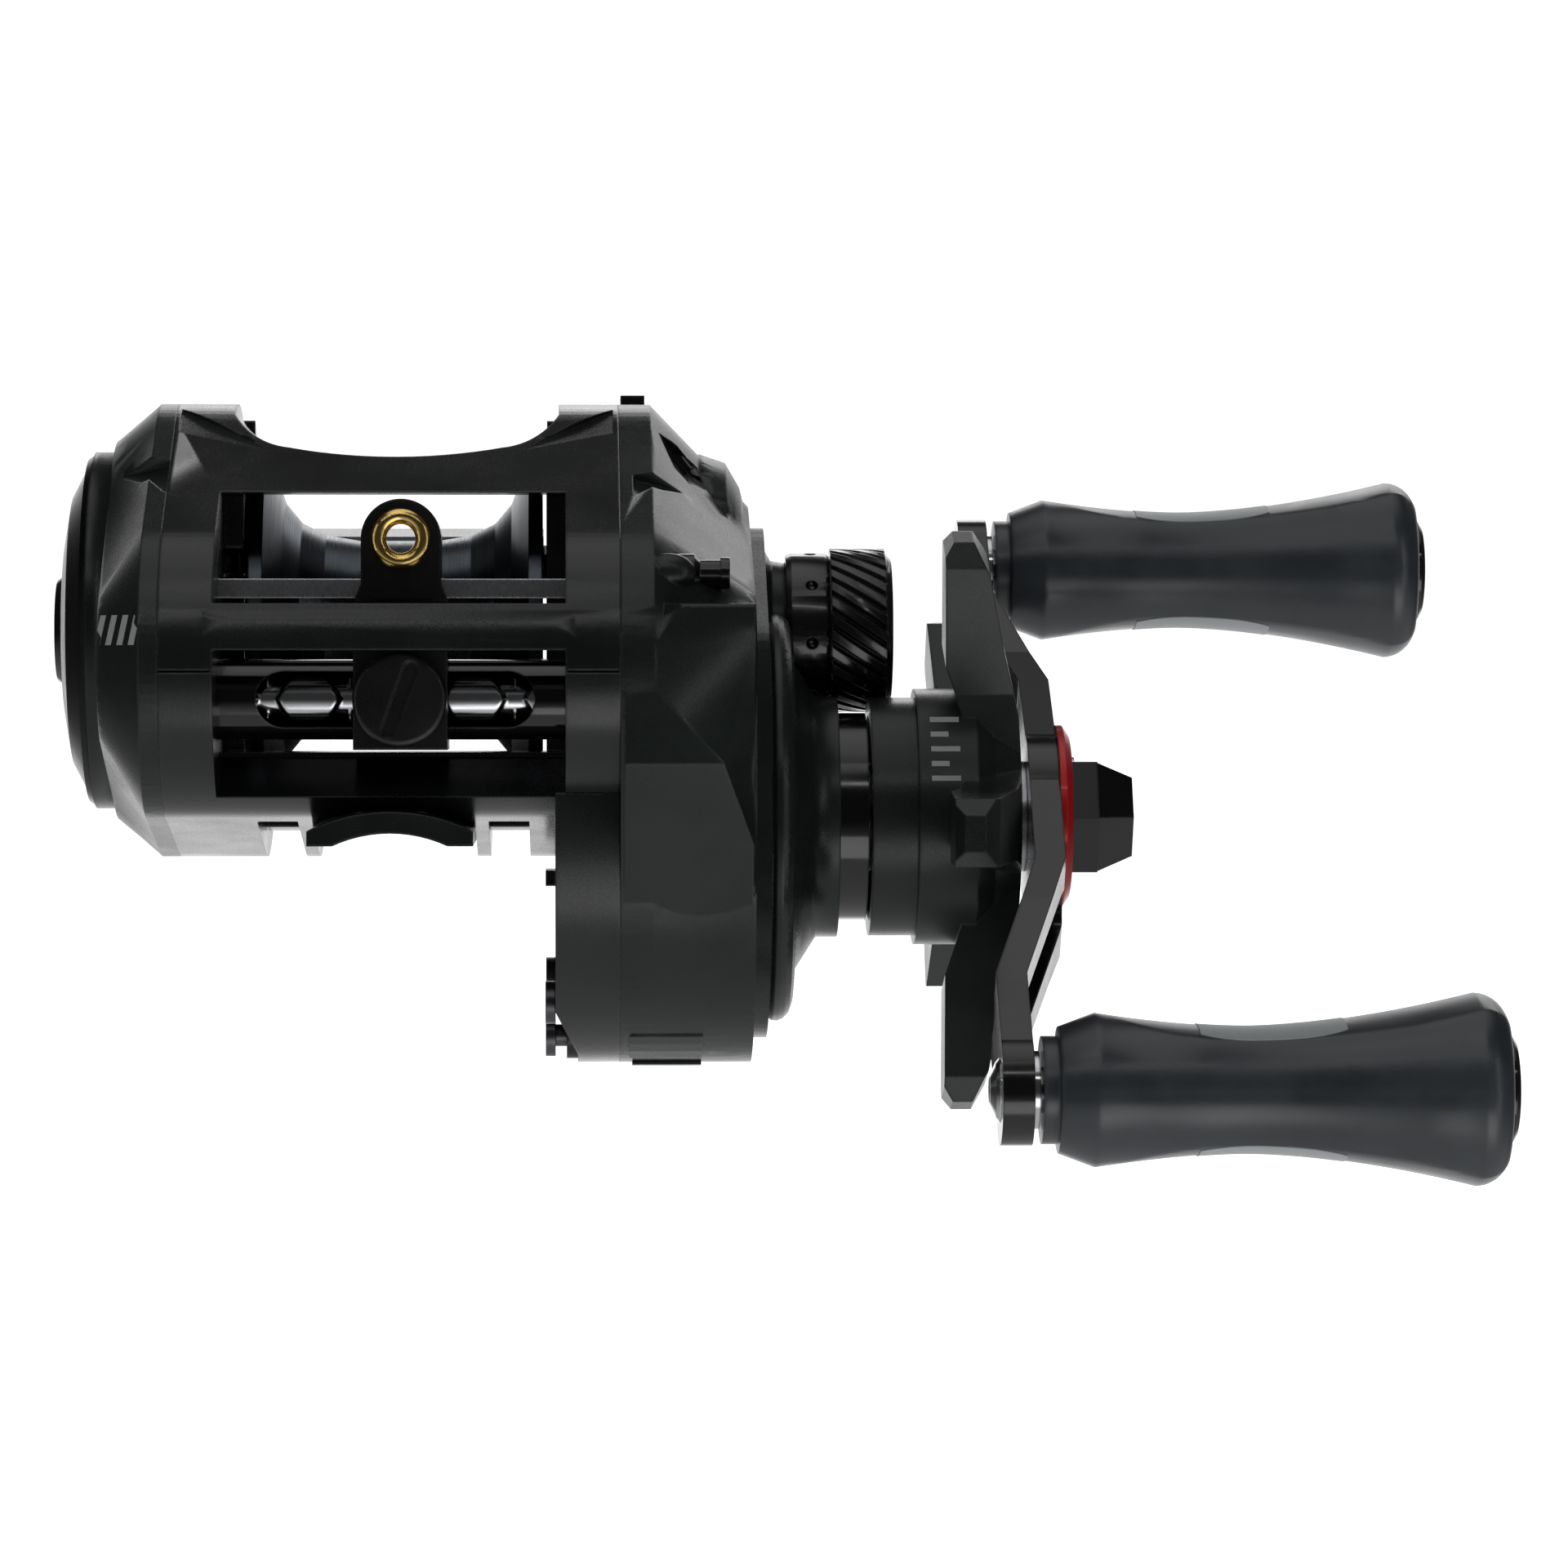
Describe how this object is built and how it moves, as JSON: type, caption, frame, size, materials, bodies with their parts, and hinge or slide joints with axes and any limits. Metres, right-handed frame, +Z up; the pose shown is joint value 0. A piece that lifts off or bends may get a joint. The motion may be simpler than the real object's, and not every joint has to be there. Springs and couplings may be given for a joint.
{
  "type": "baitcasting reel",
  "caption": "Low-profile baitcasting reel: graphite frame and side covers, level-wind line guide, free-spinning spool, star drag and double-knob handle.",
  "frame": {"origin": "centre of the reel seat plane, under the middle of the spool's width and 2 mm in front of the spool axis", "axes": "+X along the spool axis towards the handle, +Y to the rear (angler's side), +Z up from the rod"},
  "size_m": [0.1282, 0.0793, 0.0698],
  "materials": {
    "frame_graphite": "satin moulded graphite composite",
    "cover_graphite": "matte moulded graphite composite",
    "gloss_black": "polished black plastic",
    "guide_plastic": "fine-textured acetal",
    "knob_rubber": "satin rubberised grip",
    "spool_alloy": "dark anodised, satin",
    "black_alloy": "gloss black anodised aluminium",
    "red_alloy": "red anodised aluminium",
    "brass_gear": "machined brass",
    "gold_ring": "polished titanium-nitride gold",
    "chrome_steel": "polished chromed steel",
    "steel": "ground stainless steel",
    "carbon_washer": "woven carbon drag washer"
  },
  "bodies": {
    "body": {"frame": "frame_graphite", "front_hood": "frame_graphite", "palm_cover": "cover_graphite", "palm_insert": "gloss_black", "palm_trim_ring": "gloss_black", "brake_housing": "frame_graphite", "spool_bearing_left": "steel", "spool_bearing_right": "steel", "yoke_posts": "steel", "yoke_springs": "steel", "drive_shaft_bush": "steel", "anti_reverse_bearing": "steel", "bearing_retainer": "gloss_black", "gear_side_plate": "frame_graphite", "gear_cover": "cover_graphite", "oil_port_plug": "cover_graphite", "worm_guard": "gloss_black", "worm_bush_left": "guide_plastic", "worm_bush_right": "guide_plastic", "guide_rail": "steel", "hook_post": "black_alloy", "case_screws": "steel"},
    "crank": {"drive_shaft": "steel", "main_gear": "brass_gear", "drag_washer": "carbon_washer", "drag_plate": "steel", "levelwind_gear": "guide_plastic", "clutch_tube": "steel", "handle_arm": "black_alloy", "handle_washer": "red_alloy", "handle_nut": "black_alloy", "nut_lock_screw": "chrome_steel", "knob_post_high": "chrome_steel", "knob_post_low": "chrome_steel", "star_collar": "steel"},
    "star": {"drag_star": "cover_graphite", "star_springs": "steel"},
    "grip_high": {"knob_high": "knob_rubber", "knob_cap_high": "gloss_black"},
    "grip_low": {"knob_low": "knob_rubber", "knob_cap_low": "gloss_black"},
    "spool_body": {"spool": "spool_alloy", "spool_shaft": "steel", "clutch_pin": "steel"},
    "yoke": {"clutch_yoke": "guide_plastic"},
    "pinion_body": {"pinion": "brass_gear"},
    "worm": {"worm_shaft": "chrome_steel", "worm_gear": "guide_plastic"},
    "carriage": {"line_guide": "guide_plastic", "line_guide_ring": "gold_ring", "pawl": "steel", "pawl_cap": "guide_plastic"},
    "dial": {"brake_dial": "gloss_black"},
    "magnet_slide": {"magnet_carrier": "guide_plastic", "brake_magnets": "steel"},
    "tension_cap": {"cast_control_cap": "black_alloy", "cast_control_shim": "brass_gear"},
    "thumb": {"thumb_bar": "frame_graphite"},
    "switch": {"flip_switch": "guide_plastic"}
  },
  "joints": [
    {"name": "crank_spin", "type": "hinge", "parent": "body", "child": "crank", "pos_m": [0.04, -0.00577, 0.00197], "axis": [1, 0, 0], "continuous": true},
    {"name": "star_turn", "type": "hinge", "parent": "crank", "child": "star", "pos_m": [0.05, -0.00577, 0.00197], "axis": [1, 0, 0], "range_deg": [-180, 180]},
    {"name": "knob_high_spin", "type": "hinge", "parent": "crank", "child": "grip_high", "pos_m": [0.075, 0.02457, 0.02484], "axis": [1, 0, 0], "continuous": true},
    {"name": "knob_low_spin", "type": "hinge", "parent": "crank", "child": "grip_low", "pos_m": [0.075, -0.03612, -0.0209], "axis": [1, 0, 0], "continuous": true},
    {"name": "spool_spin", "type": "hinge", "parent": "body", "child": "spool_body", "pos_m": [0, 0.002, 0.0189], "axis": [1, 0, 0], "continuous": true},
    {"name": "thumb_press", "type": "slide", "parent": "body", "child": "thumb", "axis": [0, 0.3502, -0.9367], "range_m": [0, 0.004]},
    {"name": "yoke_shift", "type": "slide", "parent": "body", "child": "yoke", "axis": [1, 0, 0], "range_m": [0, 0.0014]},
    {"name": "pinion_spin", "type": "hinge", "parent": "yoke", "child": "pinion_body", "pos_m": [0.025, 0.002, 0.0189], "axis": [1, 0, 0], "continuous": true},
    {"name": "worm_spin", "type": "hinge", "parent": "body", "child": "worm", "pos_m": [0, -0.02383, 0.0127], "axis": [1, 0, 0], "continuous": true},
    {"name": "guide_traverse", "type": "slide", "parent": "body", "child": "carriage", "axis": [1, 0, 0], "range_m": [-0.0095, 0.0085]},
    {"name": "dial_turn", "type": "hinge", "parent": "body", "child": "dial", "pos_m": [-0.029, 0.002, 0.0189], "axis": [1, 0, 0], "range_deg": [0, 270]},
    {"name": "magnet_shift", "type": "slide", "parent": "body", "child": "magnet_slide", "axis": [1, 0, 0], "range_m": [0, 0.0014]},
    {"name": "tension_turn", "type": "hinge", "parent": "body", "child": "tension_cap", "pos_m": [0.04, 0.002, 0.0189], "axis": [1, 0, 0], "range_deg": [-270, 270]},
    {"name": "switch_slide", "type": "slide", "parent": "body", "child": "switch", "axis": [0, 1, 0], "range_m": [0, 0.002]}
  ],
  "couplings": [
    {"joint": "spool_spin", "follows": "crank_spin", "ratio": -7.1},
    {"joint": "pinion_spin", "follows": "crank_spin", "ratio": -7.1},
    {"joint": "worm_spin", "follows": "crank_spin", "ratio": -2.5294},
    {"joint": "yoke_shift", "follows": "thumb_press", "ratio": 0.35},
    {"joint": "dial_turn", "follows": "magnet_shift", "rad_per_m": 3365.9}
  ]
}
